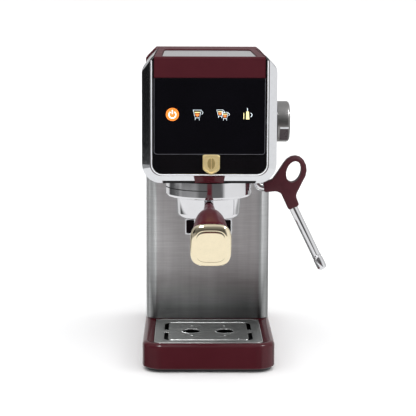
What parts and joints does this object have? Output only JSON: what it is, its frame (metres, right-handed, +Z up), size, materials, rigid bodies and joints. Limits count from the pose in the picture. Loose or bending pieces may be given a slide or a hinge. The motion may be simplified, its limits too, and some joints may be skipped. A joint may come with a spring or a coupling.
{
  "type": "espresso machine",
  "caption": "Slim pump espresso machine: steel column and head, removable drip tray and rear water tank, twist-in portafilter, steam knob and swivelling steam wand.",
  "frame": {"origin": "centre of the footprint of the whole machine, on the surface that the feet rest on", "axes": "+Z up, -Y to the front where the portafilter handle points, +X to the machine's right side as seen from the front, where the steam knob is"},
  "size_m": [0.2106, 0.4088, 0.3487],
  "materials": {
    "burgundy": "high gloss burgundy",
    "satin_chrome": "satin silver plating",
    "brushed_steel": "brushed",
    "chrome": "polished",
    "champagne_gold": "polished champagne gold plating",
    "black_glass": "glossy black glass",
    "black_plastic": "fine satin",
    "gloss_black": "high gloss black",
    "black_rubber": "matt",
    "burgundy_silicone": "satin silicone",
    "aluminium": "cast",
    "brass": "machined",
    "zinc_steel": "zinc plated",
    "smoked_plastic": "smoked, translucent",
    "circuit_board": "solder mask",
    "hose": "silicone hose"
  },
  "bodies": {
    "machine": {"base_housing": "burgundy", "bottom_plate": "black_plastic", "foot_front_left": "black_rubber", "foot_front_right": "black_rubber", "foot_rear_left": "black_rubber", "foot_rear_right": "black_rubber", "base_screw_1": "zinc_steel", "base_screw_2": "zinc_steel", "base_screw_3": "zinc_steel", "base_screw_4": "zinc_steel", "cord_gland": "black_plastic", "column_wrap": "brushed_steel", "inner_frame": "zinc_steel", "pump_body": "brass", "pump_coil": "black_plastic", "pump_mount_lower": "black_rubber", "pump_mount_upper": "black_rubber", "main_board": "circuit_board", "suction_hose": "hose", "pressure_hose": "hose", "thermoblock": "aluminium", "head_shell": "satin_chrome", "top_frame": "burgundy", "cup_tray": "brushed_steel", "display_glass": "black_glass", "lower_fascia": "gloss_black", "panel_carrier": "black_plastic", "touch_board": "circuit_board", "badge": "champagne_gold", "bezel_insert": "burgundy", "group_collar": "chrome", "brew_head": "brass", "group_gasket": "black_rubber", "shower_screen": "brushed_steel", "screen_screw": "zinc_steel", "steam_valve": "brass", "wand_nut": "chrome", "rear_frame": "burgundy", "tank_seat": "black_plastic"},
    "drip_tray": {"drip_tray": "black_plastic"},
    "drip_grid": {"drip_grid": "brushed_steel"},
    "water_tank": {"water_tank": "smoked_plastic", "valve_spring": "zinc_steel"},
    "tank_lid": {"tank_lid": "burgundy"},
    "outlet_valve": {"outlet_valve": "black_rubber"},
    "portafilter": {"portafilter_body": "chrome", "filter_basket": "brushed_steel", "spout": "chrome", "handle": "burgundy", "handle_cap": "champagne_gold"},
    "steam_knob": {"steam_knob": "satin_chrome", "valve_spindle": "zinc_steel"},
    "steam_wand": {"steam_tube": "chrome", "wand_grip": "burgundy_silicone", "steam_nozzle": "chrome"}
  },
  "joints": [
    {"name": "drip_tray_lift", "type": "slide", "parent": "machine", "child": "drip_tray", "axis": [0, 0, 1], "range_m": [0, 0.04]},
    {"name": "drip_grid_lift", "type": "slide", "parent": "drip_tray", "child": "drip_grid", "axis": [0, 0, 1], "range_m": [0, 0.04]},
    {"name": "water_tank_lift", "type": "slide", "parent": "machine", "child": "water_tank", "axis": [0, 0, 1], "range_m": [0, 0.08]},
    {"name": "tank_lid_hinge", "type": "hinge", "parent": "water_tank", "child": "tank_lid", "pos_m": [-0.0297, 0.19558, 0.337], "axis": [-1, 0, 0], "range_deg": [0, 85]},
    {"name": "outlet_valve_travel", "type": "slide", "parent": "water_tank", "child": "outlet_valve", "axis": [0, 0, 1], "range_m": [0, 0.0015], "stiffness_N_per_m": 150, "deforming": ["valve_spring"]},
    {"name": "portafilter_twist", "type": "hinge", "parent": "machine", "child": "portafilter", "pos_m": [-0.0297, -0.04192, 0.2001], "axis": [0, 0, 1], "range_deg": [-45, 0]},
    {"name": "steam_knob_turn", "type": "hinge", "parent": "machine", "child": "steam_knob", "pos_m": [0.0438, -0.03192, 0.2725], "axis": [1, 0, 0], "range_deg": [0, 270]},
    {"name": "steam_wand_swivel", "type": "hinge", "parent": "machine", "child": "steam_wand", "pos_m": [0.0263, -0.03192, 0.2094], "axis": [0, 0, 1], "range_deg": [-30, 30]}
  ]
}
